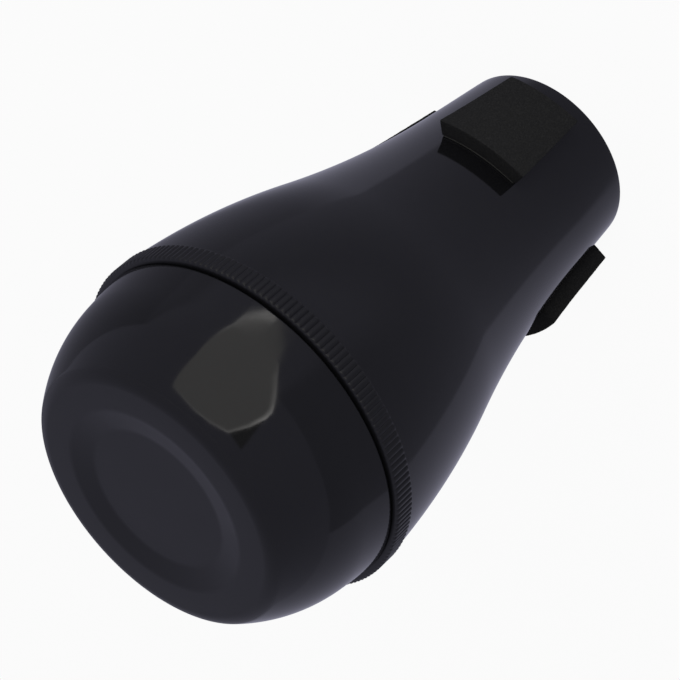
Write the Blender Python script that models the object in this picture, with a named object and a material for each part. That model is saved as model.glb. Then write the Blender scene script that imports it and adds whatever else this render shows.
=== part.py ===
"""A trombone straight mute: a hollow pear-shaped shell standing on its neck rim, a cap screwed into
the knurled collar at the wide end, a seal ring on the cap's spigot and three foam pads on the neck.
Metres, +Z up, origin at the centre of the neck rim."""
import math

import bmesh
import bpy

MM = 0.001
SAME_PLACE = 0.01 * MM          # points nearer than this count as one
SHARP_ANGLE = 35.0              # degrees between faces, above which an edge is shaded as sharp

# Overall
HEIGHT = 190.5 * MM             # neck rim to the flat end of the cap
SEGMENTS = 60                   # facets round every turned piece

# Shell, from the neck rim up
MOUTH_EDGE = 0.4 * MM           # bevel of the neck rim
CONE_HEIGHT = 25.5 * MM         # the straight part of the neck
CONE_SLOPE = 0.10               # radius gained for each unit of height there
FLARE_HEIGHT = 67.0 * MM        # the hollow curve, from the cone to the inflection
FLARE_SLOPE = 0.31              # slope at the inflection, the steepest place
SHOULDER_SLOPE = 0.078          # slope just under the collar
SHELL_WALL = 2.2 * MM

# Collar, moulded in one with the shell
COLLAR_RADIUS = 58.0 * MM       # to the tips of the ridges
COLLAR_HEIGHT = 7.1 * MM
COLLAR_EDGE = 0.5 * MM          # small bevel of the band's lower edge
CROWN_WIDTH = 1.4 * MM          # of the curve from the collar's flat end face to the band
CROWN_DROP = 0.7 * MM           # height of that curve
COLLAR_STEP = 0.6 * MM          # how far the band stands proud of the shoulder
COLLAR_WALL = 3.6 * MM          # between the ridges' tips and the bore
RIDGES_PER_SEGMENT = 3          # 180 grip ridges in all
RIDGE_DEPTH = 0.38 * MM
BORE_ROUND = 1.0 * MM           # of the bore's mouth
BORE_BLEND = 4.0 * MM           # height of the slope from the bore to the inside wall

# Cap
CAP_HEIGHT = 38.1 * MM          # from the collar's end face to the flat end
CAP_EDGE_RADIUS = 55.9 * MM     # of the lower edge, the cap's widest place
CAP_EDGE_GAP = 0.3 * MM         # between that edge and the collar's end face
CAP_EDGE_ROUND = 0.3 * MM
CAP_SKIRT_HEIGHT = 10.3 * MM    # the straight part of the side, from the lower edge up
CAP_SKIRT_SLOPE = 0.12          # radius lost for each unit of height there
CAP_SIDE_RADIUS = 53.4 * MM     # of the arc that forms the rest of the side, seen in section
CAP_CORNER_RADIUS = 6.0 * MM    # between the side and the flat end
CAP_WALL = 2.4 * MM
CAP_BLEND_HEIGHT = 7.6 * MM     # where the inside curve starts, over the collar's end face
DISH_RADIUS = 31.5 * MM         # outer edge of the shallow dish in the flat end
DISH_FLOOR_RADIUS = 23.8 * MM
DISH_DEPTH = 1.6 * MM

# Spigot under the cap, with its seal groove and thread
SPIGOT_DEPTH = 12.0 * MM        # below the collar's end face
SPIGOT_CLEARANCE = 0.4 * MM     # between the spigot and the shell's bore, and between crest and root
SPIGOT_WALL = 2.4 * MM          # under the seal groove
SPIGOT_CHAMFER = 0.6 * MM
GROOVE_DROP = 0.9 * MM          # from the collar's end face down to the seal groove
FLANGE_HEIGHT = 0.6 * MM        # between the seal groove and the thread
THREAD_PITCH = 4.0 * MM
THREAD_DEPTH = 0.8 * MM
THREAD_WIDTH = 1.6 * MM         # at the root
THREAD_FLANK = 0.4 * MM         # width of each sloping side
THREAD_ROW = 0.4 * MM           # height of the rows of facets that carry the thread

# Seal ring
SEAL_WIDTH = 1.6 * MM
SEAL_HEIGHT = 1.6 * MM
SEAL_CLEARANCE = 0.3 * MM       # to the groove and to the bore

# Foam pads, each on an adhesive film
PAD_NARROW_END = 26.8 * MM      # width of the end by the neck rim, measured round the outer face
PAD_WIDE_END = 33.2 * MM        # width of the end towards the collar
PAD_LENGTH = 34.9 * MM
PAD_END_BOW = 0.8 * MM          # how far the middle of each end lies towards the collar
PAD_THICKNESS = 5.0 * MM
FILM_THICKNESS = 0.5 * MM
FILM_INSET = 0.4 * MM           # the film is cut this much smaller than the pad on three sides
FILM_END_INSET = 0.1 * MM       # and this much at the end towards the collar
STICK_GAP = 0.25 * MM           # between the neck, the film and the pad
# Each seat's name, angle round the neck in degrees and height over the neck rim
PAD_SEATS = (("front", -68.5, 10.2 * MM),
             ("right", 43.4, 6.5 * MM),
             ("left", 158.2, 5.4 * MM))

# Steps of the curves
FLARE_STEPS = 10
SHOULDER_STEPS = 8
ROUND_STEPS = 4                 # of rounded edges
EDGE_STEPS = 2                  # of the smallest ones
SEAL_SIDES = 8
SIDE_STEPS = 10
PAD_STEPS_ACROSS = 10
PAD_STEPS_ALONG = 6

# Places worked out from the sizes above
COLLAR_TOP = HEIGHT - CAP_HEIGHT
COLLAR_BOTTOM = COLLAR_TOP - COLLAR_HEIGHT
BAND_LOW = COLLAR_BOTTOM + COLLAR_EDGE
BAND_HIGH = COLLAR_TOP - CROWN_DROP
INFLECTION_HEIGHT = CONE_HEIGHT + FLARE_HEIGHT
SHOULDER_RADIUS = COLLAR_RADIUS - COLLAR_STEP
BORE_RADIUS = COLLAR_RADIUS - COLLAR_WALL
BORE_BOTTOM = COLLAR_TOP - SPIGOT_DEPTH - 2.0 * SPIGOT_CLEARANCE
SPIGOT_RADIUS = BORE_RADIUS - SPIGOT_CLEARANCE
SPIGOT_CORE = SPIGOT_RADIUS - THREAD_DEPTH
SPIGOT_BOTTOM = COLLAR_TOP - SPIGOT_DEPTH
SEAL_INNER_RADIUS = BORE_RADIUS - SEAL_CLEARANCE - SEAL_WIDTH
GROOVE_RADIUS = SEAL_INNER_RADIUS - SEAL_CLEARANCE
GROOVE_TOP = COLLAR_TOP - GROOVE_DROP
GROOVE_BOTTOM = GROOVE_TOP - SEAL_HEIGHT - 2.0 * SEAL_CLEARANCE
THREAD_TOP = GROOVE_BOTTOM - FLANGE_HEIGHT
THREAD_BOTTOM = SPIGOT_BOTTOM + SPIGOT_CHAMFER
CAP_EDGE_HEIGHT = COLLAR_TOP + CAP_EDGE_GAP
PAD_LIFT = 2.0 * STICK_GAP + FILM_THICKNESS


def slope_sine(slope):
    """The sine of the angle that a wall of this slope makes with the axis."""
    return slope / math.hypot(1.0, slope)


def slope_cosine(slope):
    """The cosine of the same angle."""
    return 1.0 / math.hypot(1.0, slope)


SHOULDER_ARC = (COLLAR_BOTTOM - INFLECTION_HEIGHT) / (slope_sine(FLARE_SLOPE) - slope_sine(SHOULDER_SLOPE))
FLARE_ARC = FLARE_HEIGHT / (slope_sine(FLARE_SLOPE) - slope_sine(CONE_SLOPE))
INFLECTION_RADIUS = SHOULDER_RADIUS - SHOULDER_ARC * (slope_cosine(SHOULDER_SLOPE) - slope_cosine(FLARE_SLOPE))
CONE_RADIUS = INFLECTION_RADIUS - FLARE_ARC * (slope_cosine(CONE_SLOPE) - slope_cosine(FLARE_SLOPE))
NECK_RADIUS = CONE_RADIUS - CONE_SLOPE * CONE_HEIGHT
SKIRT_TOP_RADIUS = CAP_EDGE_RADIUS - CAP_SKIRT_SLOPE * CAP_SKIRT_HEIGHT
SIDE_CENTRE = (SKIRT_TOP_RADIUS - CAP_SIDE_RADIUS * slope_cosine(CAP_SKIRT_SLOPE),
               CAP_EDGE_HEIGHT + CAP_SKIRT_HEIGHT - CAP_SIDE_RADIUS * slope_sine(CAP_SKIRT_SLOPE))


def shell_radius(height):
    """Outer radius of the shell at a height: a cone, a hollow arc and a full arc, each tangent to the next."""
    if height <= CONE_HEIGHT:
        return NECK_RADIUS + CONE_SLOPE * height
    if height <= INFLECTION_HEIGHT:
        sine = slope_sine(CONE_SLOPE) + (height - CONE_HEIGHT) / FLARE_ARC
        return CONE_RADIUS + FLARE_ARC * (slope_cosine(CONE_SLOPE) - math.sqrt(1.0 - sine * sine))
    sine = slope_sine(FLARE_SLOPE) - (height - INFLECTION_HEIGHT) / SHOULDER_ARC
    return INFLECTION_RADIUS + SHOULDER_ARC * (math.sqrt(1.0 - sine * sine) - slope_cosine(FLARE_SLOPE))


def arc(centre, radius, start, end, steps):
    """Points (radius, height) on an arc in the section plane, angles in degrees from the outward direction."""
    points = []
    for step in range(steps + 1):
        angle = math.radians(start + (end - start) * step / steps)
        points.append((centre[0] + radius * math.cos(angle), centre[1] + radius * math.sin(angle)))
    return points


def thread_rows(radius, top, bottom):
    """Points down a straight wall, close enough together to carry the thread."""
    rows = round((top - bottom) / THREAD_ROW)
    return [(radius, top + (bottom - top) * row / rows) for row in range(rows + 1)]


def make_material(name, colour, roughness):
    material = bpy.data.materials.new(name)
    material.use_nodes = True
    shader = material.node_tree.nodes["Principled BSDF"]
    shader.inputs["Base Color"].default_value = (*colour, 1.0)
    shader.inputs["Roughness"].default_value = roughness
    return material


def add_object(name, bm, material, parent=None):
    bmesh.ops.recalc_face_normals(bm, faces=bm.faces)
    mesh = bpy.data.meshes.new(name)
    bm.to_mesh(mesh)
    bm.free()
    mesh.materials.append(material)
    mesh.shade_smooth()
    mesh.set_sharp_from_angle(angle=math.radians(SHARP_ANGLE))
    piece = bpy.data.objects.new(name, mesh)
    bpy.context.collection.objects.link(piece)
    piece.parent = parent
    return piece


def spun(section, on_axis=False):
    """Spins a section of (radius, height) points round Z: a closed loop, or an open line from axis to axis."""
    bm = bmesh.new()
    verts = [bm.verts.new((radius, 0.0, height)) for radius, height in section]
    edges = [bm.edges.new(pair) for pair in zip(verts, verts[1:])]
    if not on_axis:
        edges.append(bm.edges.new((verts[-1], verts[0])))
    bmesh.ops.spin(bm, geom=verts + edges, cent=(0, 0, 0), axis=(0, 0, 1), angle=2.0 * math.pi,
                   steps=SEGMENTS, use_merge=True, use_duplicate=False)
    bmesh.ops.remove_doubles(bm, verts=bm.verts, dist=SAME_PLACE)
    return bm


def set_radius(vert, radius):
    scale = radius / math.hypot(vert.co.x, vert.co.y)
    vert.co.x *= scale
    vert.co.y *= scale


def raise_thread(bm, wall_radius, middle, depth):
    """Raises a right-handed helical ridge on a round wall, outwards for a positive depth. The ridge passes
    the +X side at the middle height and runs out at the thread's two ends."""
    for vert in bm.verts:
        height = vert.co.z
        on_wall = abs(math.hypot(vert.co.x, vert.co.y) - wall_radius) < SAME_PLACE
        if not on_wall or not THREAD_BOTTOM < height < THREAD_TOP:
            continue
        along = height - middle - THREAD_PITCH * math.atan2(vert.co.y, vert.co.x) / (2.0 * math.pi)
        offset = (along + THREAD_PITCH / 2.0) % THREAD_PITCH - THREAD_PITCH / 2.0
        run_out = min(THREAD_TOP - height, height - THREAD_BOTTOM)
        share = min(THREAD_WIDTH / 2.0 - abs(offset), run_out, THREAD_FLANK) / THREAD_FLANK
        set_radius(vert, wall_radius + depth * max(share, 0.0))


def raise_knurl(bm):
    """Divides the collar band's two rings and sets their points in and out by turns, as grip ridges."""
    def on_ring(vert, height):
        outside = math.hypot(vert.co.x, vert.co.y) > COLLAR_RADIUS - COLLAR_WALL / 2.0
        return outside and abs(vert.co.z - height) < SAME_PLACE

    rings = [edge for edge in bm.edges
             if any(all(on_ring(vert, height) for vert in edge.verts) for height in (BAND_LOW, BAND_HIGH))]
    bmesh.ops.subdivide_edges(bm, edges=rings, cuts=2 * RIDGES_PER_SEGMENT - 1)
    half_ridge = math.pi / (SEGMENTS * RIDGES_PER_SEGMENT)
    for vert in bm.verts:
        if on_ring(vert, BAND_LOW) or on_ring(vert, BAND_HIGH):
            turn = round(math.atan2(vert.co.y, vert.co.x) / half_ridge)
            set_radius(vert, COLLAR_RADIUS - RIDGE_DEPTH * (turn % 2))


def shell_section():
    """The shell's wall in section: up the outside, over the collar's end face, down the bore and the inside."""
    flare = [CONE_HEIGHT + FLARE_HEIGHT * step / FLARE_STEPS for step in range(FLARE_STEPS + 1)]
    shoulder_height = COLLAR_BOTTOM - INFLECTION_HEIGHT
    shoulder = [INFLECTION_HEIGHT + shoulder_height * step / SHOULDER_STEPS for step in range(1, SHOULDER_STEPS + 1)]
    heights = [CONE_HEIGHT / 2.0] + flare + shoulder
    points = [(shell_radius(0.0) - MOUTH_EDGE, 0.0), (shell_radius(MOUTH_EDGE), MOUTH_EDGE)]
    points += [(shell_radius(height), height) for height in heights]
    points.append((COLLAR_RADIUS, BAND_LOW))
    for step in range(EDGE_STEPS + 1):
        angle = math.pi / 2.0 * step / EDGE_STEPS
        points.append((COLLAR_RADIUS - CROWN_WIDTH * (1.0 - math.cos(angle)), BAND_HIGH + CROWN_DROP * math.sin(angle)))
    points += arc((BORE_RADIUS + BORE_ROUND, COLLAR_TOP - BORE_ROUND), BORE_ROUND, 90.0, 180.0, ROUND_STEPS)
    points += thread_rows(BORE_RADIUS, THREAD_TOP, THREAD_BOTTOM)
    points.append((BORE_RADIUS, BORE_BOTTOM))
    inside = [height for height in reversed(heights) if height < BORE_BOTTOM - BORE_BLEND]
    points += [(min(shell_radius(height) - SHELL_WALL, BORE_RADIUS), height) for height in inside]
    points.append((shell_radius(0.0) - SHELL_WALL, 0.0))
    return points


def cap_section():
    """The cap's wall in section, from the dish's centre out, down the side and spigot, and back inside."""
    points = [(0.0, HEIGHT - DISH_DEPTH), (DISH_FLOOR_RADIUS, HEIGHT - DISH_DEPTH), (DISH_RADIUS, HEIGHT)]
    corner_rise = HEIGHT - CAP_CORNER_RADIUS - SIDE_CENTRE[1]
    corner_reach = CAP_SIDE_RADIUS - CAP_CORNER_RADIUS
    corner_centre = (SIDE_CENTRE[0] + math.sqrt(corner_reach ** 2 - corner_rise ** 2), HEIGHT - CAP_CORNER_RADIUS)
    corner_angle = math.degrees(math.asin(corner_rise / corner_reach))
    points += arc(corner_centre, CAP_CORNER_RADIUS, 90.0, corner_angle, ROUND_STEPS)
    skirt_angle = math.degrees(math.atan(CAP_SKIRT_SLOPE))
    points += arc(SIDE_CENTRE, CAP_SIDE_RADIUS, corner_angle, skirt_angle, SIDE_STEPS)[1:]
    edge_centre = (CAP_EDGE_RADIUS - CAP_EDGE_ROUND, CAP_EDGE_HEIGHT + CAP_EDGE_ROUND)
    points += arc(edge_centre, CAP_EDGE_ROUND, 0.0, -90.0, EDGE_STEPS)
    points += [(SPIGOT_RADIUS, CAP_EDGE_HEIGHT), (SPIGOT_RADIUS, GROOVE_TOP),
               (GROOVE_RADIUS, GROOVE_TOP), (GROOVE_RADIUS, GROOVE_BOTTOM),
               (SPIGOT_RADIUS, GROOVE_BOTTOM), (SPIGOT_RADIUS, THREAD_TOP)]
    points += thread_rows(SPIGOT_CORE, THREAD_TOP, THREAD_BOTTOM)
    points.append((SPIGOT_CORE - SPIGOT_CHAMFER, SPIGOT_BOTTOM))
    points += [(GROOVE_RADIUS - SPIGOT_WALL, SPIGOT_BOTTOM), (GROOVE_RADIUS - SPIGOT_WALL, GROOVE_BOTTOM)]
    inside_radius = CAP_SIDE_RADIUS - CAP_WALL
    inside_start = math.degrees(math.asin((COLLAR_TOP + CAP_BLEND_HEIGHT - SIDE_CENTRE[1]) / inside_radius))
    inside_end = math.degrees(math.asin((HEIGHT - CAP_WALL - SIDE_CENTRE[1]) / inside_radius))
    points += arc(SIDE_CENTRE, inside_radius, inside_start, inside_end, SIDE_STEPS)
    points += [(DISH_RADIUS + CAP_WALL / 2.0, HEIGHT - CAP_WALL),
               (DISH_FLOOR_RADIUS + CAP_WALL / 2.0, HEIGHT - CAP_WALL - DISH_DEPTH),
               (0.0, HEIGHT - CAP_WALL - DISH_DEPTH)]
    return points


def seal_section():
    """The section of a round ring."""
    middle_radius = SEAL_INNER_RADIUS + SEAL_WIDTH / 2.0
    middle_height = GROOVE_TOP - SEAL_CLEARANCE - SEAL_HEIGHT / 2.0
    points = []
    for side in range(SEAL_SIDES):
        angle = 2.0 * math.pi * side / SEAL_SIDES
        points.append((middle_radius + SEAL_WIDTH / 2.0 * math.cos(angle),
                       middle_height + SEAL_HEIGHT / 2.0 * math.sin(angle)))
    return points


def wrapped_strip(name, seat, inset, end_inset, lift, thickness, material):
    """A flat strip wrapped on the neck, with the pad's outline at this seat, drawn in by one inset on three
    sides and by another at the end towards the collar. Its inner face stays at a fixed lift over the neck."""
    angle, pad_bottom = seat
    bm = bmesh.new()
    rows = []
    for row in range(PAD_STEPS_ALONG + 1):
        side_height = pad_bottom + inset + (PAD_LENGTH - inset - end_inset) * row / PAD_STEPS_ALONG
        pad_width = PAD_NARROW_END + (PAD_WIDE_END - PAD_NARROW_END) * (side_height - pad_bottom) / PAD_LENGTH
        pad_outside = shell_radius(side_height) + PAD_LIFT + PAD_THICKNESS
        half_angle = pad_width / (2.0 * pad_outside) - inset / (shell_radius(side_height) + lift)
        line = []
        for column in range(PAD_STEPS_ACROSS + 1):
            share = 2.0 * column / PAD_STEPS_ACROSS - 1.0
            turn = math.radians(angle) + half_angle * share
            height = side_height + PAD_END_BOW * (1.0 - share * share)
            radius = shell_radius(height) + lift
            line.append(bm.verts.new((radius * math.cos(turn), radius * math.sin(turn), height)))
        rows.append(line)
    for low, high in zip(rows, rows[1:]):
        for column in range(PAD_STEPS_ACROSS):
            bm.faces.new((low[column], low[column + 1], high[column + 1], high[column]))
    raised = bmesh.ops.extrude_face_region(bm, geom=bm.faces[:], use_keep_orig=True)
    for vert in raised["geom"]:
        if isinstance(vert, bmesh.types.BMVert):
            set_radius(vert, math.hypot(vert.co.x, vert.co.y) + thickness)
    return add_object(name, bm, material)


for old in list(bpy.data.objects):
    bpy.data.objects.remove(old)

gloss_black = make_material("gloss_black_plastic", (0.010, 0.010, 0.014), 0.12)
seal_rubber = make_material("seal_rubber", (0.012, 0.012, 0.012), 0.65)
foam = make_material("black_foam", (0.020, 0.020, 0.019), 0.95)
film = make_material("adhesive_film", (0.045, 0.045, 0.040), 0.45)

# The cap turns and rises together: the seal slides on the axis and carries the turning cap.
seal_slide = bpy.data.objects.new("seal_slide_axis", None)
bpy.context.collection.objects.link(seal_slide)
cap_turn = bpy.data.objects.new("cap_turn_axis", None)
bpy.context.collection.objects.link(cap_turn)
cap_turn.parent = seal_slide

shell = spun(shell_section())
raise_thread(shell, BORE_RADIUS, THREAD_BOTTOM + THREAD_PITCH / 2.0, -THREAD_DEPTH)
raise_knurl(shell)
add_object("body_shell", shell, gloss_black)

cap = spun(cap_section(), on_axis=True)
raise_thread(cap, SPIGOT_CORE, THREAD_BOTTOM, THREAD_DEPTH)
add_object("end_cap", cap, gloss_black, parent=cap_turn)

add_object("seal_ring", spun(seal_section()), seal_rubber, parent=seal_slide)

for side, *seat in PAD_SEATS:
    wrapped_strip("pad_film_" + side, seat, FILM_INSET, FILM_END_INSET, STICK_GAP, FILM_THICKNESS, film)
    wrapped_strip("foam_pad_" + side, seat, 0.0, 0.0, PAD_LIFT, PAD_THICKNESS, foam)
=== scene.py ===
import math

import bmesh
import bpy
from mathutils import Matrix, Vector, noise


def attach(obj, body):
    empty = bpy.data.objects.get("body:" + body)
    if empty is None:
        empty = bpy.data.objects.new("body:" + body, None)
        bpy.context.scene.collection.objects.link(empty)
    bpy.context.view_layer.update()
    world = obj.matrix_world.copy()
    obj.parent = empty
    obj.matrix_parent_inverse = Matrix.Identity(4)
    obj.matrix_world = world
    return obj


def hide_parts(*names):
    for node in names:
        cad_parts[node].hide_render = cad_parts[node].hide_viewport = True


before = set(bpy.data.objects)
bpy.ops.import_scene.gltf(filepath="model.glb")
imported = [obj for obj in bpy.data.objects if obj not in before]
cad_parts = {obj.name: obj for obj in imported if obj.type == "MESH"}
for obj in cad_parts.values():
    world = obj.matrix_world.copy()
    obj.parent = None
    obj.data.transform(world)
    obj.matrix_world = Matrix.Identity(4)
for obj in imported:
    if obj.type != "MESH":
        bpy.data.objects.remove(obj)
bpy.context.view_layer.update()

# The photograph's view: the mute stands on its neck here, so the camera is rolled to lay the picture
# as the photograph has it.
MM = 0.001
VIEW_PLACE = Vector((0.0, -0.6877, 0.5803))
VIEW_RIGHT = Vector((-0.66384, -0.42544, -0.61507))
VIEW_DOWN = Vector((-0.74787, 0.37670, 0.54661))
VIEW_FORWARD = Vector((-0.00086, 0.82286, -0.56824))
LENS = 147.2
SENSOR = 36.0
NEAREST = 0.05
FARTHEST = 20.0
view = bpy.data.cameras.new("photo_view")
view.lens = LENS
view.sensor_width = SENSOR
view.clip_start = NEAREST
view.clip_end = FARTHEST
photo_camera = bpy.data.objects.new("photo_view", view)
bpy.context.collection.objects.link(photo_camera)
turn = Matrix((VIEW_RIGHT, -VIEW_DOWN, -VIEW_FORWARD)).transposed().to_4x4()
photo_camera.matrix_world = Matrix.Translation(VIEW_PLACE) @ turn
bpy.context.scene.camera = photo_camera
bpy.context.scene.view_settings.view_transform = "Standard"

# The shell: one moulded body of gloss black plastic, a cone at the neck that flares out to the
# shoulder. The collar round its open end has fine axial ridges as a grip, a rounded crown and, in
# its bore, the thread that the cap screws into.
HEIGHT = 190.5 * MM
CAP_HEIGHT = 38.1 * MM
SHELL_WALL = 2.2 * MM
CONE_HEIGHT = 25.5 * MM
CONE_SLOPE = 0.10
FLARE_HEIGHT = 67.0 * MM
FLARE_SLOPE = 0.31
SHOULDER_SLOPE = 0.078
MOUTH_ROUND = 0.4 * MM
COLLAR_RADIUS = 58.0 * MM
COLLAR_HEIGHT = 7.1 * MM
COLLAR_STEP = 0.6 * MM
COLLAR_WALL = 3.6 * MM
COLLAR_EDGE = 0.5 * MM
CROWN_WIDTH = 1.4 * MM
CROWN_DROP = 0.7 * MM
RIDGES = 180
RIDGE_DEPTH = 0.38 * MM
BORE_RADIUS = COLLAR_RADIUS - COLLAR_WALL
BORE_ROUND = 1.0 * MM
BORE_DEPTH = 12.8 * MM
BORE_BLEND = 4.0 * MM
COLLAR_TOP = HEIGHT - CAP_HEIGHT
COLLAR_BOTTOM = COLLAR_TOP - COLLAR_HEIGHT
SHOULDER_RADIUS = COLLAR_RADIUS - COLLAR_STEP
INFLECTION_HEIGHT = CONE_HEIGHT + FLARE_HEIGHT
THREAD_TOP = 148.7 * MM
THREAD_BOTTOM = 141.0 * MM
THREAD_PITCH = 4.0 * MM
THREAD_DEPTH = 0.8 * MM
THREAD_WIDTH = 1.6 * MM
THREAD_FLANK = 0.4 * MM
THREAD_STEPS = 58
ROUND_TURN = 360
STEPS_PER_RIDGE = 8
RIDGED_TURN = RIDGES * STEPS_PER_RIDGE
FULL_TURN = 2.0 * math.pi
QUARTER = 90.0
OUTWARD = 0.0
UPWARD = QUARTER
INWARD = 2.0 * QUARTER
DOWNWARD = -QUARTER
SHARP_ANGLE = math.radians(40.0)
OUTSIDE_STEPS = 70
INSIDE_STEPS = 50
MOUTH_STEPS = 4
COLLAR_EDGE_STEPS = 4
BAND_STEPS = 4
CROWN_STEPS = 6
BORE_STEPS = 8
CREST_POWER = 0.7
PLASTIC_IOR = 1.45
PLASTIC_DARK = (0.0040, 0.0040, 0.0046, 1.0)
PLASTIC_LIGHT = (0.0056, 0.0056, 0.0064, 1.0)
POLISH_BEST = 0.06
POLISH_WORST = 0.10
COLLAR_SATIN = 0.22
SATIN_FADE = 0.6 * MM
MOTTLE_SCALE = 90.0
RIPPLE_SCALE = 55.0
RIPPLE_DEPTH = 0.2 * MM
HAIRLINE_SCALE = 2200.0
HAIRLINE_DEPTH = 0.02 * MM
FAINT = 0.05
NOISE_LOW = 0.3
NOISE_HIGH = 0.7


def slope_sine(slope):
    return slope / math.hypot(1.0, slope)


def slope_cosine(slope):
    return 1.0 / math.hypot(1.0, slope)


SHOULDER_SWING = slope_sine(FLARE_SLOPE) - slope_sine(SHOULDER_SLOPE)
FLARE_SWING = slope_sine(FLARE_SLOPE) - slope_sine(CONE_SLOPE)
SHOULDER_ARC = (COLLAR_BOTTOM - INFLECTION_HEIGHT) / SHOULDER_SWING
FLARE_ARC = FLARE_HEIGHT / FLARE_SWING
SHOULDER_REACH = SHOULDER_ARC * (slope_cosine(SHOULDER_SLOPE) - slope_cosine(FLARE_SLOPE))
FLARE_REACH = FLARE_ARC * (slope_cosine(CONE_SLOPE) - slope_cosine(FLARE_SLOPE))
INFLECTION_RADIUS = SHOULDER_RADIUS - SHOULDER_REACH
CONE_RADIUS = INFLECTION_RADIUS - FLARE_REACH
NECK_RADIUS = CONE_RADIUS - CONE_SLOPE * CONE_HEIGHT


def shell_radius(height):
    """The shell's outer radius at a height: a cone, a hollow arc and a full arc, tangent to each other."""
    if height <= CONE_HEIGHT:
        return NECK_RADIUS + CONE_SLOPE * height
    if height <= INFLECTION_HEIGHT:
        sine = slope_sine(CONE_SLOPE) + (height - CONE_HEIGHT) / FLARE_ARC
        return CONE_RADIUS + FLARE_ARC * (slope_cosine(CONE_SLOPE) - math.sqrt(1.0 - sine * sine))
    sine = slope_sine(FLARE_SLOPE) - (height - INFLECTION_HEIGHT) / SHOULDER_ARC
    return INFLECTION_RADIUS + SHOULDER_ARC * (math.sqrt(1.0 - sine * sine) - slope_cosine(FLARE_SLOPE))


def arc(centre, radius, start, end, steps):
    """Points (radius, height) on an arc in the section plane, its angles in degrees from outward."""
    angles = [math.radians(start + (end - start) * step / steps) for step in range(steps + 1)]
    return [(centre[0] + radius * math.cos(a), centre[1] + radius * math.sin(a)) for a in angles]


def piece_from(name, bm, material):
    bmesh.ops.recalc_face_normals(bm, faces=bm.faces)
    mesh = bpy.data.meshes.new(name)
    bm.to_mesh(mesh)
    bm.free()
    mesh.materials.append(material)
    mesh.shade_smooth()
    mesh.set_sharp_from_angle(angle=SHARP_ANGLE)
    piece = bpy.data.objects.new(name, mesh)
    bpy.context.collection.objects.link(piece)
    return piece


def ring_of(bm, count, radius_at, height):
    turns = [FULL_TURN * i / count for i in range(count)]
    return [bm.verts.new((radius_at(a) * math.cos(a), radius_at(a) * math.sin(a), height)) for a in turns]


def join_rings(bm, low, high):
    """Faces between two rings. One may have a whole multiple of the other's points: they all join."""
    if len(low) > len(high):
        low, high = high, low
    share = len(high) // len(low)
    for i in range(len(low)):
        fine = [high[(i * share + k) % len(high)] for k in range(share + 1)]
        bm.faces.new([low[i], low[(i + 1) % len(low)]] + fine[::-1])


def turned_piece(name, rings, material, closed):
    """A piece from rings of (count, radius or a function of the angle, height). Unless it is closed, its
    first and last rings are filled to the axis."""
    bm = bmesh.new()
    made = []
    for count, radius, height in rings:
        radius_at = radius if callable(radius) else (lambda a, r=radius: r)
        made.append(ring_of(bm, count, radius_at, height))
    for low, high in zip(made, made[1:]):
        join_rings(bm, low, high)
    if closed:
        join_rings(bm, made[-1], made[0])
    else:
        for ring, height in ((made[0], rings[0][2]), (made[-1], rings[-1][2])):
            hub = bm.verts.new((0.0, 0.0, height))
            for i in range(len(ring)):
                bm.faces.new((ring[i], ring[(i + 1) % len(ring)], hub))
    return piece_from(name, bm, material)


def plain_rings(points):
    return [(ROUND_TURN, radius, height) for radius, height in points]


def threaded(wall_radius, height, middle, depth):
    """Radius round a straight wall with a right-handed thread that passes +X at the middle height."""
    def radius_at(angle):
        along = height - middle - THREAD_PITCH * angle / FULL_TURN
        offset = (along + THREAD_PITCH / 2.0) % THREAD_PITCH - THREAD_PITCH / 2.0
        run_out = min(THREAD_TOP - height, height - THREAD_BOTTOM)
        share = min(THREAD_WIDTH / 2.0 - abs(offset), run_out, THREAD_FLANK) / THREAD_FLANK
        return wall_radius + depth * max(share, 0.0)
    return radius_at


def thread_rings(wall_radius, middle, depth):
    """The rings of a threaded wall, from its top down."""
    rings = []
    for step in range(THREAD_STEPS + 1):
        height = THREAD_TOP + (THREAD_BOTTOM - THREAD_TOP) * step / THREAD_STEPS
        rings.append((ROUND_TURN, threaded(wall_radius, height, middle, depth), height))
    return rings


def new_material(name):
    material = bpy.data.materials.new(name)
    material.use_nodes = True
    tree = material.node_tree
    return material, tree, tree.nodes["Principled BSDF"]


def add_node(tree, kind, **settings):
    node = tree.nodes.new(kind)
    for key, value in settings.items():
        if key in node.inputs:
            node.inputs[key].default_value = value
        else:
            setattr(node, key, value)
    return node


def ramp(tree, source, low, high, low_value, high_value):
    """Maps a number from the range low..high to low_value..high_value, smoothly and held at the ends."""
    node = add_node(tree, "ShaderNodeMapRange", interpolation_type="SMOOTHSTEP")
    tree.links.new(source, node.inputs["Value"])
    for key, value in zip(("From Min", "From Max", "To Min", "To Max"), (low, high, low_value, high_value)):
        node.inputs[key].default_value = value
    return node.outputs["Result"]


def total_of(tree, first, second):
    node = add_node(tree, "ShaderNodeMath", operation="ADD")
    tree.links.new(first, node.inputs[0])
    tree.links.new(second, node.inputs[1])
    return node.outputs[0]


def blended(tree, factor, first, second):
    """A colour between two others, by a factor from 0 to 1. Each is fixed or another node's output."""
    node = add_node(tree, "ShaderNodeMix", data_type="RGBA")
    tree.links.new(factor, node.inputs[0])
    for socket, colour in ((node.inputs[6], first), (node.inputs[7], second)):
        if isinstance(colour, tuple):
            socket.default_value = colour
        else:
            tree.links.new(colour, socket)
    return node.outputs[2]


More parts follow.
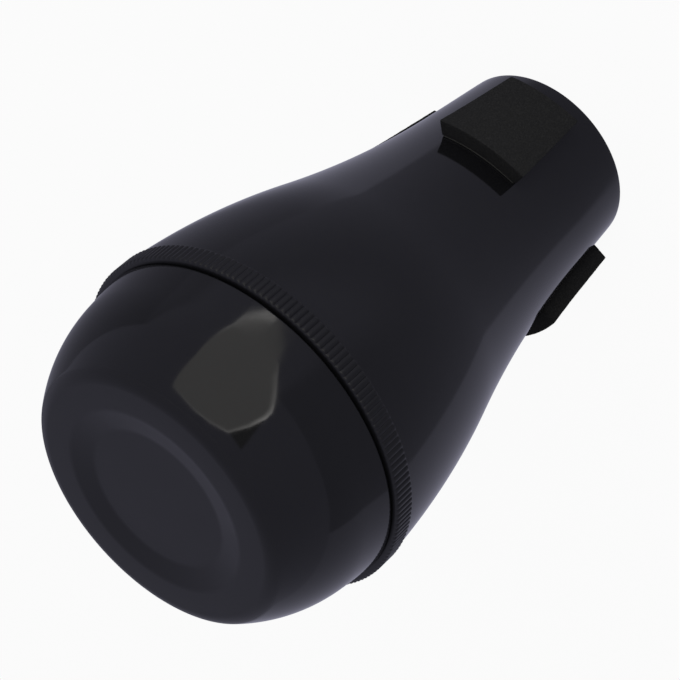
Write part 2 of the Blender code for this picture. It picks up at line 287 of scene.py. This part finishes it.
def gloss_plastic(name, satin_low, satin_high, satin_roughness):
    """Black polished plastic with a cloudy polish, a faint moulding ripple and rubbed hairlines. Between
    the two heights it keeps the mould's satin finish."""
    material, tree, shader = new_material(name)
    place = tree.nodes.new("ShaderNodeTexCoord").outputs["Object"]
    mottle = add_node(tree, "ShaderNodeTexNoise", Scale=MOTTLE_SCALE, Detail=4.0, Roughness=0.6)
    tree.links.new(place, mottle.inputs["Vector"])
    colour = blended(tree, mottle.outputs["Fac"], PLASTIC_DARK, PLASTIC_LIGHT)
    tree.links.new(colour, shader.inputs["Base Color"])
    split = tree.nodes.new("ShaderNodeSeparateXYZ")
    tree.links.new(place, split.inputs[0])
    polish = ramp(tree, mottle.outputs["Fac"], NOISE_LOW, NOISE_HIGH, POLISH_BEST, POLISH_WORST)
    enter = ramp(tree, split.outputs["Z"], satin_low, satin_low + SATIN_FADE, 0.0, satin_roughness)
    leave = ramp(tree, split.outputs["Z"], satin_high - SATIN_FADE, satin_high, 0.0, -satin_roughness)
    tree.links.new(total_of(tree, polish, total_of(tree, enter, leave)), shader.inputs["Roughness"])
    ripple = add_node(tree, "ShaderNodeTexNoise", Scale=RIPPLE_SCALE, Detail=1.0)
    tree.links.new(place, ripple.inputs["Vector"])
    wave = add_node(tree, "ShaderNodeBump", Strength=FAINT, Distance=RIPPLE_DEPTH)
    tree.links.new(ripple.outputs["Fac"], wave.inputs["Height"])
    hairline = add_node(tree, "ShaderNodeTexNoise", Scale=HAIRLINE_SCALE, Detail=2.0)
    tree.links.new(place, hairline.inputs["Vector"])
    fine = add_node(tree, "ShaderNodeBump", Strength=FAINT, Distance=HAIRLINE_DEPTH)
    tree.links.new(hairline.outputs["Fac"], fine.inputs["Height"])
    tree.links.new(wave.outputs["Normal"], fine.inputs["Normal"])
    tree.links.new(fine.outputs["Normal"], shader.inputs["Normal"])
    shader.inputs["IOR"].default_value = PLASTIC_IOR
    return material


def ridged(base, share):
    """Radius round the collar: rounded ridges that meet in narrow grooves, at a share of full depth."""
    def radius_at(angle):
        crest = abs(math.cos(RIDGES * angle / 2.0))
        return base - RIDGE_DEPTH * share * (1.0 - crest ** CREST_POWER)
    return radius_at


mouth_radius = shell_radius(0.0)
outer_lip = (mouth_radius - MOUTH_ROUND, MOUTH_ROUND)
shell_rings = plain_rings(arc(outer_lip, MOUTH_ROUND, DOWNWARD, OUTWARD, MOUTH_STEPS))
for step in range(1, OUTSIDE_STEPS):
    height = MOUTH_ROUND + (COLLAR_BOTTOM - MOUTH_ROUND) * step / OUTSIDE_STEPS
    shell_rings += plain_rings([(shell_radius(height), height)])
shell_rings.append((RIDGED_TURN, SHOULDER_RADIUS, COLLAR_BOTTOM))
for step in range(1, COLLAR_EDGE_STEPS + 1):
    share = step / COLLAR_EDGE_STEPS
    radius = SHOULDER_RADIUS + COLLAR_STEP * math.sin(math.pi / 2.0 * share)
    shell_rings.append((RIDGED_TURN, ridged(radius, share), COLLAR_BOTTOM + COLLAR_EDGE * share))
band_low = COLLAR_BOTTOM + COLLAR_EDGE
band_high = COLLAR_TOP - CROWN_DROP
for step in range(1, BAND_STEPS + 1):
    height = band_low + (band_high - band_low) * step / BAND_STEPS
    shell_rings.append((RIDGED_TURN, ridged(COLLAR_RADIUS, 1.0), height))
for step in range(1, CROWN_STEPS + 1):
    angle = math.pi / 2.0 * step / CROWN_STEPS
    radius = COLLAR_RADIUS - CROWN_WIDTH * (1.0 - math.cos(angle))
    fade = max(0.0, 1.0 - math.sin(angle) ** 2)
    shell_rings.append((RIDGED_TURN, ridged(radius, fade), band_high + CROWN_DROP * math.sin(angle)))
bore_lip = (BORE_RADIUS + BORE_ROUND, COLLAR_TOP - BORE_ROUND)
shell_rings += plain_rings(arc(bore_lip, BORE_ROUND, UPWARD, INWARD, BORE_STEPS))
shell_rings += thread_rings(BORE_RADIUS, THREAD_BOTTOM + THREAD_PITCH / 2.0, -THREAD_DEPTH)
bore_bottom = COLLAR_TOP - BORE_DEPTH
shell_rings += plain_rings([(BORE_RADIUS, bore_bottom)])
inside_top = bore_bottom - BORE_BLEND
for step in range(INSIDE_STEPS):
    height = MOUTH_ROUND + (inside_top - MOUTH_ROUND) * (1.0 - step / INSIDE_STEPS)
    shell_rings += plain_rings([(min(shell_radius(height) - SHELL_WALL, BORE_RADIUS), height)])
inner_lip = (mouth_radius - SHELL_WALL + MOUTH_ROUND, MOUTH_ROUND)
shell_rings += plain_rings(arc(inner_lip, MOUTH_ROUND, INWARD, INWARD + QUARTER, MOUTH_STEPS))

body_plastic = gloss_plastic("polished_black_plastic", COLLAR_BOTTOM, COLLAR_TOP + SATIN_FADE, COLLAR_SATIN)
shell = turned_piece("moulded_body", shell_rings, body_plastic, closed=True)
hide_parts("body_shell")
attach(shell, "mute_body")

# The cap: a domed bowl of the same plastic, with a satin flat end pressed in by a shallow dish. Its
# straight skirt ends just over the collar, and its spigot screws into it by two turns of thread.
CAP_EDGE_RADIUS = 55.9 * MM
CAP_EDGE_GAP = 0.3 * MM
CAP_EDGE_ROUND = 0.3 * MM
CAP_SKIRT_HEIGHT = 10.3 * MM
CAP_SKIRT_SLOPE = 0.12
CAP_SIDE_RADIUS = 53.4 * MM
CAP_CORNER_RADIUS = 6.0 * MM
CAP_WALL = 2.4 * MM
CAP_BLEND_HEIGHT = 7.6 * MM
DISH_RADIUS = 31.5 * MM
DISH_FLOOR_RADIUS = 23.8 * MM
DISH_DEPTH = 1.6 * MM
DISH_ROUND = 9.0 * MM
DISH_RINGS = (0.25, 0.5, 0.75)
DISH_STEPS = 6
CORNER_STEPS = 16
SIDE_STEPS = 40
CAP_EDGE_STEPS = 4
HOLLOW_STEPS = 24
END_SATIN = 0.24
END_SATIN_DEPTH = 2.2 * MM
ABOVE_CAP = 5.0 * MM
SPIGOT_DEPTH = 12.0 * MM
SPIGOT_CLEARANCE = 0.4 * MM
SPIGOT_WALL = 2.4 * MM
SPIGOT_CHAMFER = 0.6 * MM
GROOVE_DROP = 0.9 * MM
SEAL_WIDTH = 1.6 * MM
SEAL_HEIGHT = 1.6 * MM
SEAL_CLEARANCE = 0.3 * MM
seal_inner_radius = BORE_RADIUS - SEAL_CLEARANCE - SEAL_WIDTH
groove_radius = seal_inner_radius - SEAL_CLEARANCE
groove_top = COLLAR_TOP - GROOVE_DROP
groove_bottom = groove_top - SEAL_HEIGHT - 2.0 * SEAL_CLEARANCE
spigot_radius = BORE_RADIUS - SPIGOT_CLEARANCE
spigot_core = spigot_radius - THREAD_DEPTH
spigot_bottom = COLLAR_TOP - SPIGOT_DEPTH
cap_edge_height = COLLAR_TOP + CAP_EDGE_GAP
skirt_top_radius = CAP_EDGE_RADIUS - CAP_SKIRT_SLOPE * CAP_SKIRT_HEIGHT
skirt_top_height = cap_edge_height + CAP_SKIRT_HEIGHT
side_centre = (skirt_top_radius - CAP_SIDE_RADIUS * slope_cosine(CAP_SKIRT_SLOPE),
               skirt_top_height - CAP_SIDE_RADIUS * slope_sine(CAP_SKIRT_SLOPE))
cap_points = [(DISH_FLOOR_RADIUS * share, HEIGHT - DISH_DEPTH) for share in DISH_RINGS]
dish_slope = math.degrees(math.atan(DISH_DEPTH / (DISH_RADIUS - DISH_FLOOR_RADIUS)))
dish_reach = DISH_ROUND * math.tan(math.radians(dish_slope) / 2.0)
foot_centre = (DISH_FLOOR_RADIUS - dish_reach, HEIGHT - DISH_DEPTH + DISH_ROUND)
brim_centre = (DISH_RADIUS + dish_reach, HEIGHT - DISH_ROUND)
cap_points += arc(foot_centre, DISH_ROUND, DOWNWARD, DOWNWARD + dish_slope, DISH_STEPS)
cap_points += arc(brim_centre, DISH_ROUND, UPWARD + dish_slope, UPWARD, DISH_STEPS)
corner_rise = HEIGHT - CAP_CORNER_RADIUS - side_centre[1]
corner_reach = CAP_SIDE_RADIUS - CAP_CORNER_RADIUS
corner_aside = math.sqrt(corner_reach ** 2 - corner_rise ** 2)
corner_centre = (side_centre[0] + corner_aside, HEIGHT - CAP_CORNER_RADIUS)
corner_angle = math.degrees(math.asin(corner_rise / corner_reach))
skirt_angle = math.degrees(math.atan(CAP_SKIRT_SLOPE))
cap_points += arc(corner_centre, CAP_CORNER_RADIUS, UPWARD, corner_angle, CORNER_STEPS)
cap_points += arc(side_centre, CAP_SIDE_RADIUS, corner_angle, skirt_angle, SIDE_STEPS)[1:]
skirt_end = (CAP_EDGE_RADIUS - CAP_SKIRT_SLOPE * CAP_EDGE_ROUND, cap_edge_height + 2.0 * CAP_EDGE_ROUND)
cap_edge = (CAP_EDGE_RADIUS - CAP_EDGE_ROUND, cap_edge_height + CAP_EDGE_ROUND)
cap_points.append(skirt_end)
cap_points += arc(cap_edge, CAP_EDGE_ROUND, OUTWARD, DOWNWARD, CAP_EDGE_STEPS)
cap_points += [(spigot_radius, cap_edge_height), (spigot_radius, groove_top), (groove_radius, groove_top),
               (groove_radius, groove_bottom), (spigot_radius, groove_bottom), (spigot_radius, THREAD_TOP)]
cap_rings = plain_rings(cap_points) + thread_rings(spigot_core, THREAD_BOTTOM, THREAD_DEPTH)
inside_radius = CAP_SIDE_RADIUS - CAP_WALL
inside_start = math.degrees(math.asin((COLLAR_TOP + CAP_BLEND_HEIGHT - side_centre[1]) / inside_radius))
inside_end = math.degrees(math.asin((HEIGHT - CAP_WALL - side_centre[1]) / inside_radius))
inner_points = [(spigot_core - SPIGOT_CHAMFER, spigot_bottom), (groove_radius - SPIGOT_WALL, spigot_bottom),
                (groove_radius - SPIGOT_WALL, groove_bottom)]
inner_points += arc(side_centre, inside_radius, inside_start, inside_end, HOLLOW_STEPS)
inner_points += [(DISH_RADIUS + CAP_WALL / 2.0, HEIGHT - CAP_WALL),
                 (DISH_FLOOR_RADIUS + CAP_WALL / 2.0, HEIGHT - CAP_WALL - DISH_DEPTH)]
cap_rings += plain_rings(inner_points)
cap_plastic = gloss_plastic("cap_black_plastic", HEIGHT - END_SATIN_DEPTH, HEIGHT + ABOVE_CAP, END_SATIN)
cap = turned_piece("screw_cap", cap_rings, cap_plastic, closed=False)
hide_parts("end_cap")
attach(cap, "cap")

# The seal: a moulded ring of soft black rubber. It sits in the groove at the top of the spigot and
# closes the joint when the cap is screwed down.
SEAL_GRAIN = 900.0
SEAL_DARK = 0.006
SEAL_LIGHT = 0.012
SEAL_ROUGHNESS = 0.62
SEAL_STEPS = 20
seal_rubber, tree, shader = new_material("seal_rubber")
shader.inputs["Roughness"].default_value = SEAL_ROUGHNESS
grain = add_node(tree, "ShaderNodeTexNoise", Scale=SEAL_GRAIN, Detail=3.0)
grey = ramp(tree, grain.outputs["Fac"], NOISE_LOW, NOISE_HIGH, SEAL_DARK, SEAL_LIGHT)
tree.links.new(grey, shader.inputs["Base Color"])
seal_middle = (seal_inner_radius + SEAL_WIDTH / 2.0, groove_top - SEAL_CLEARANCE - SEAL_HEIGHT / 2.0)
seal_points = arc(seal_middle, SEAL_WIDTH / 2.0, OUTWARD, 4.0 * QUARTER, SEAL_STEPS)[:-1]
seal = turned_piece("seal", plain_rings(seal_points), seal_rubber, closed=True)
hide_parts("seal_ring")
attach(seal, "seal")

# The pads: three strips of fine-celled black foam, cut a little wider towards the collar, each stuck on
# the neck by a film of adhesive that is cut smaller. They are what the bell grips.
PAD_NARROW_END = 26.8 * MM
PAD_WIDE_END = 33.2 * MM
PAD_LENGTH = 34.9 * MM
PAD_END_BOW = 0.8 * MM
PAD_THICKNESS = 5.0 * MM
PAD_LIFT = 1.0 * MM
PAD_ROUND = 0.35 * MM
PAD_CORNER = 0.6 * MM
PAD_HEM = 0.8 * MM
PAD_END_HEM = 0.4 * MM
FILM_LIFT = 0.12 * MM
FILM_THICKNESS = 0.5 * MM
FILM_ROUND = 0.1 * MM
FILM_INSET = 0.4 * MM
FILM_END_INSET = 0.1 * MM
PAD_SEATS = (("front", -68.5, 10.2 * MM), ("right", 43.4, 6.5 * MM), ("left", 158.2, 5.4 * MM))
PAD_CELL = 0.75 * MM
PAD_GRAIN = 0.06 * MM
FOAM_DARK = (0.0060, 0.0060, 0.0062, 1.0)
FOAM_LIGHT = (0.0170, 0.0170, 0.0170, 1.0)
FOAM_PORES = 1900.0
PORE_DEPTH = 0.2 * MM
PORE_STRENGTH = 0.5
FOAM_ROUGHNESS = 0.95
FOAM_SHINE = 0.25
FILM_DARK = (0.026, 0.026, 0.024, 1.0)
FILM_LIGHT = (0.050, 0.050, 0.045, 1.0)
FILM_CLOUDS = 700.0
FILM_ROUGHNESS = 0.45

pad_foam, tree, shader = new_material("black_foam")
place = tree.nodes.new("ShaderNodeTexCoord").outputs["Object"]
pores = add_node(tree, "ShaderNodeTexVoronoi", Scale=FOAM_PORES)
tree.links.new(place, pores.inputs["Vector"])
foam_colour = blended(tree, pores.outputs["Distance"], FOAM_DARK, FOAM_LIGHT)
tree.links.new(foam_colour, shader.inputs["Base Color"])
pore_bump = add_node(tree, "ShaderNodeBump", Strength=PORE_STRENGTH, Distance=PORE_DEPTH)
tree.links.new(pores.outputs["Distance"], pore_bump.inputs["Height"])
tree.links.new(pore_bump.outputs["Normal"], shader.inputs["Normal"])
shader.inputs["Roughness"].default_value = FOAM_ROUGHNESS
shader.inputs["Specular IOR Level"].default_value = FOAM_SHINE

film_material, tree, shader = new_material("adhesive_film")
clouds = add_node(tree, "ShaderNodeTexNoise", Scale=FILM_CLOUDS, Detail=2.0)
film_colour = blended(tree, clouds.outputs["Fac"], FILM_DARK, FILM_LIGHT)
tree.links.new(film_colour, shader.inputs["Base Color"])
shader.inputs["Roughness"].default_value = FILM_ROUGHNESS


def wrapped_strip(name, seat, inset, end_inset, lift, thickness, edge, grain_depth, hem, end_hem, material):
    """A strip bent round the neck, with the pad's outline at this seat drawn in by an inset, or by the end
    inset at the end towards the collar. Its edges are rounded and its faces grained by small steps in or
    out. Round its underside a hem reaches down towards the shell, and the end hem does at that end."""
    columns, rows, layers = 90, 96, 8
    seat_angle, pad_bottom = seat
    width = (PAD_NARROW_END + PAD_WIDE_END) / 2.0 - 2.0 * inset
    length = PAD_LENGTH - inset - end_inset
    middle = pad_bottom + inset + length / 2.0
    half = Vector((width / 2.0, length / 2.0, thickness / 2.0))
    drift = Vector((seat_angle, pad_bottom / MM, lift / MM))
    bm = bmesh.new()
    verts = {}

    def vert(i, j, k):
        key = (i, j, k)
        if key in verts:
            return verts[key]
        p = Vector((width * (i / columns - 0.5), length * (j / rows - 0.5), thickness * (k / layers - 0.5)))
        core = Vector([max(-h + edge, min(h - edge, c)) for c, h in zip(p, half)])
        out = p - core
        if out.length > 0.0:
            p = core + out.normalized() * min(edge, max(abs(c) for c in out))
            p += out.normalized() * grain_depth * (noise.noise(p / PAD_CELL + drift) - 0.5)
        core = Vector([max(PAD_CORNER - h, min(h - PAD_CORNER, c)) for c, h in zip(p.xy, half)])
        out = p.xy - core
        if out.length > 0.0:
            p.xy = core + out.normalized() * max(abs(c) for c in out)
        side_height = middle + p.y
        share = p.x / half.x
        height = side_height + PAD_END_BOW * (1.0 - share * share)
        along = (side_height - pad_bottom) / PAD_LENGTH
        pad_width = PAD_NARROW_END + (PAD_WIDE_END - PAD_NARROW_END) * along
        pad_outside = shell_radius(side_height) + PAD_LIFT + PAD_THICKNESS
        half_angle = pad_width / (2.0 * pad_outside) - inset / pad_outside
        angle = math.radians(seat_angle) + half_angle * share
        radius = shell_radius(height) + lift + thickness / 2.0 + p.z
        if k == 0 and j == rows:
            radius -= end_hem
        elif k == 0 and (i in (0, columns) or j == 0):
            radius -= hem
        verts[key] = bm.verts.new((radius * math.cos(angle), radius * math.sin(angle), height))
        return verts[key]

    for i in range(columns):
        for j in range(rows):
            for k in (0, layers):
                bm.faces.new((vert(i, j, k), vert(i + 1, j, k), vert(i + 1, j + 1, k), vert(i, j + 1, k)))
    for i in range(columns):
        for k in range(layers):
            for j in (0, rows):
                bm.faces.new((vert(i, j, k), vert(i + 1, j, k), vert(i + 1, j, k + 1), vert(i, j, k + 1)))
    for j in range(rows):
        for k in range(layers):
            for i in (0, columns):
                bm.faces.new((vert(i, j, k), vert(i, j + 1, k), vert(i, j + 1, k + 1), vert(i, j, k + 1)))
    return piece_from(name, bm, material)


for side, *seat in PAD_SEATS:
    film = wrapped_strip("film_" + side, seat, FILM_INSET, FILM_END_INSET, FILM_LIFT, FILM_THICKNESS,
                         FILM_ROUND, 0.0, 0.0, 0.0, film_material)
    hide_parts("pad_film_" + side)
    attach(film, "mute_body")
    pad = wrapped_strip("pad_" + side, seat, 0.0, 0.0, PAD_LIFT, PAD_THICKNESS, PAD_ROUND,
                        PAD_GRAIN, PAD_HEM, PAD_END_HEM, pad_foam)
    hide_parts("foam_pad_" + side)
    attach(pad, "mute_body")

# The studio: a pale floor that runs out of the picture in an even pale room. What the gloss mirrors of
# them is dimmer than the white that the camera sees, as in the photograph, where the room was dark. The
# floor's colour for gloss holds a painted reflection: a lighter band behind the mute, a darker side and a
# lighter patch in front.
WHITE = (1.0, 1.0, 1.0, 1.0)
BLACK = (0.0, 0.0, 0.0, 1.0)
MIRRORED_ROOM = (0.296, 0.293, 0.378, 1.0)
MIRRORED_FLOOR = (0.216, 0.214, 0.274, 1.0)
PAINTED_REFLECTION_BAND = (0.338, 0.335, 0.428, 1.0)
MIRRORED_SIDE = (0.180, 0.178, 0.228, 1.0)
MIRRORED_FRONT = (0.300, 0.297, 0.380, 1.0)
ROOM_LIGHT = (0.40, 0.40, 0.40, 1.0)
REFLECTION_BAND_EDGE = (-26.5 * MM, -21.5 * MM)
SIDE_EDGE = (70.0 * MM, 135.0 * MM)
FRONT_EDGE = (-185.0 * MM, -105.0 * MM)
FRONT_END = (-70.0 * MM, 20.0 * MM)
FLOOR_HALF = 3.0
FLOOR_GAP = 0.1 * MM
FLOOR_PAINT = (0.80, 0.80, 0.80, 1.0)
FLOOR_ROUGHNESS = 0.9
FLOOR_GLOW = (0.94, 0.94, 0.94, 1.0)


def by_ray(tree, for_camera, for_mirrors, for_light):
    """A colour by the kind of ray that asks: the camera's, a gloss or clear surface's, or one for light."""
    seen = tree.nodes.new("ShaderNodeLightPath")
    mirrors = total_of(tree, seen.outputs["Is Glossy Ray"], seen.outputs["Is Transmission Ray"])
    rest = blended(tree, mirrors, for_light, for_mirrors)
    return blended(tree, seen.outputs["Is Camera Ray"], rest, for_camera)


floor_bm = bmesh.new()
bmesh.ops.create_grid(floor_bm, x_segments=1, y_segments=1, size=FLOOR_HALF)
floor_material, tree, shader = new_material("pale_floor")
shader.inputs["Base Color"].default_value = FLOOR_PAINT
shader.inputs["Roughness"].default_value = FLOOR_ROUGHNESS
white = add_node(tree, "ShaderNodeEmission", Strength=1.0)
split = tree.nodes.new("ShaderNodeSeparateXYZ")
tree.links.new(tree.nodes.new("ShaderNodeTexCoord").outputs["Object"], split.inputs[0])
# Painted reflection: the floor that gloss sees is lighter behind the mute, darker to the side and lighter
# in front.
behind = ramp(tree, split.outputs["Y"], *REFLECTION_BAND_EDGE, 0.0, 1.0)
aside = ramp(tree, split.outputs["X"], *SIDE_EDGE, 0.0, 1.0)
ahead = ramp(tree, split.outputs["Y"], *FRONT_EDGE, 1.0, 0.0)
inward = ramp(tree, split.outputs["X"], *FRONT_END, 0.0, 1.0)
both = add_node(tree, "ShaderNodeMath", operation="MULTIPLY")
tree.links.new(ahead, both.inputs[0])
tree.links.new(inward, both.inputs[1])
near_floor = blended(tree, both.outputs[0], MIRRORED_FLOOR, MIRRORED_FRONT)
far_floor = blended(tree, aside, PAINTED_REFLECTION_BAND, MIRRORED_SIDE)
mirrored = blended(tree, behind, near_floor, far_floor)
tree.links.new(by_ray(tree, WHITE, mirrored, BLACK), white.inputs["Color"])
mixed = tree.nodes.new("ShaderNodeMixShader")
tree.links.new(by_ray(tree, FLOOR_GLOW, WHITE, BLACK), mixed.inputs[0])
tree.links.new(shader.outputs[0], mixed.inputs[1])
tree.links.new(white.outputs[0], mixed.inputs[2])
tree.links.new(mixed.outputs[0], tree.nodes["Material Output"].inputs["Surface"])
floor = piece_from("floor", floor_bm, floor_material)
floor.location.z = -FLOOR_GAP

room = bpy.data.worlds.new("room")
room.use_nodes = True
bpy.context.scene.world = room
tree = room.node_tree
tree.links.new(by_ray(tree, WHITE, MIRRORED_ROOM, ROOM_LIGHT), tree.nodes["Background"].inputs["Color"])

# The lamp box: its reflection is painted by cards that only gloss sees. Its lit front paints the cap's
# side with a grey patch with bright highlight rims, and a dim card beside it paints a dark reflected
# patch. The lamp box stands to the right of the camera, and an area lamp gives the soft light from that
# side.
LAMP_FRONT = Vector((0.152, -0.312, 0.216))
LAMP_ACROSS = Vector((0.884, 0.468, 0.0))
LAMP_UP = Vector((-0.063, 0.118, 0.991))
LAMP_COLOUR = (1.0, 0.98, 0.95, 1.0)
FRONT_GLOW = 0.85
# Each corner's place across and up, how bright the painted highlight rim is there and how wide
FRONT_CORNERS = (
    (0.1396, 0.1401, 1.3, 0.006), (0.1404, 0.0970, 0.95, 0.006), (0.1352, 0.0519, 0.9, 0.008),
    (0.1272, 0.0026, 0.9, 0.010), (0.1271, -0.0508, 0.9, 0.012), (0.1252, -0.0993, 1.1, 0.016),
    (0.1229, -0.1345, 1.7, 0.016), (0.1177, -0.1670, 2.8, 0.014), (0.1120, -0.1836, 3.8, 0.010),
    (0.0823, -0.1850, 5.0, 0.008), (0.0583, -0.1862, 6.0, 0.007), (0.0324, -0.1862, 7.0, 0.006),
    (0.0114, -0.1838, 1.4, 0.004), (-0.0119, -0.1822, 0.7, 0.003), (-0.0270, -0.1797, 0.7, 0.004),
    (-0.0563, -0.1763, 0.8, 0.006), (-0.0726, -0.1750, 0.9, 0.008), (-0.1073, -0.1668, 1.1, 0.016),
    (-0.1364, -0.1230, 1.8, 0.026), (-0.1897, -0.0637, 2.4, 0.028), (-0.2253, -0.0100, 3.8, 0.026),
    (-0.2260, 0.0300, 4.5, 0.024), (-0.2000, 0.1000, 3.0, 0.020), (-0.1480, 0.1790, 2.6, 0.014),
    (-0.0640, 0.1850, 2.2, 0.010), (0.0110, 0.1770, 2.0, 0.007))
# Painted dark reflection: a dim card beside the lamp front that only gloss sees.
DARK_PATCH_GLOW = 0.12
DARK_PATCH_BACK = 0.002
DARK_PATCH_CORNERS = ((-0.140, 0.170), (-0.200, 0.090), (-0.222, 0.030), (-0.259, 0.220))
LAMP_PLACE = Vector((0.45, -0.85, 0.38))
LAMP_TARGET = Vector((0.0, 0.0, 0.09))
LAMP_SIZE = 0.7
LAMP_POWER = 6.0


def lamp_place(across, up, back):
    return LAMP_FRONT + LAMP_ACROSS * across + LAMP_UP * up + LAMP_ACROSS.cross(LAMP_UP) * back


def reflection_card(name, faces, glow_of):
    """A glowing panel that only gloss surfaces see, a painted reflection. Each corner (across, up, back)
    has its own glow.
    """
    bm = bmesh.new()
    layer = bm.verts.layers.float.new("glow")
    made = {}
    for face in faces:
        for corner in face:
            if corner not in made:
                made[corner] = bm.verts.new(lamp_place(*corner))
                made[corner][layer] = glow_of[corner]
        bm.faces.new([made[corner] for corner in face])
    material, tree, shader = new_material(name)
    light = tree.nodes.new("ShaderNodeEmission")
    glow = add_node(tree, "ShaderNodeAttribute", attribute_name="glow")
    tree.links.new(glow.outputs["Fac"], light.inputs["Strength"])
    light.inputs["Color"].default_value = LAMP_COLOUR
    tree.links.new(light.outputs[0], tree.nodes["Material Output"].inputs["Surface"])
    panel = piece_from(name, bm, material)
    panel.visible_camera = False
    panel.visible_diffuse = False
    panel.visible_shadow = False


outer = [(across, up, 0.0) for across, up, glow, width in FRONT_CORNERS]
inner = []
for across, up, glow, width in FRONT_CORNERS:
    reach = 1.0 - width / math.hypot(across, up)
    inner.append((across * reach, up * reach, 0.0))
glow_of = {corner: row[2] for corner, row in zip(outer, FRONT_CORNERS)}
glow_of.update({corner: FRONT_GLOW for corner in inner})
count = len(outer)
highlight_rim_faces = [(outer[i], outer[(i + 1) % count], inner[(i + 1) % count], inner[i]) for i in range(count)]
# Painted reflection: the lamp box's front with painted highlight rims, glowing only for gloss.
reflection_card("painted_lamp_reflection", highlight_rim_faces + [tuple(inner)], glow_of)
# Painted dark reflection beside the lamp front, seen only in the gloss.
dark_patch = tuple((across, up, DARK_PATCH_BACK) for across, up in DARK_PATCH_CORNERS)
reflection_card("painted_dark_reflection", [dark_patch], {corner: DARK_PATCH_GLOW for corner in dark_patch})

lamp = bpy.data.lights.new("lamp_box", "AREA")
lamp.shape = "RECTANGLE"
lamp.size = LAMP_SIZE
lamp.size_y = LAMP_SIZE
lamp.energy = LAMP_POWER
lamp_object = bpy.data.objects.new("lamp_box", lamp)
bpy.context.collection.objects.link(lamp_object)
lamp_object.location = LAMP_PLACE
lamp_object.rotation_euler = (LAMP_TARGET - LAMP_PLACE).to_track_quat("-Z", "Y").to_euler()
lamp_object.visible_glossy = False
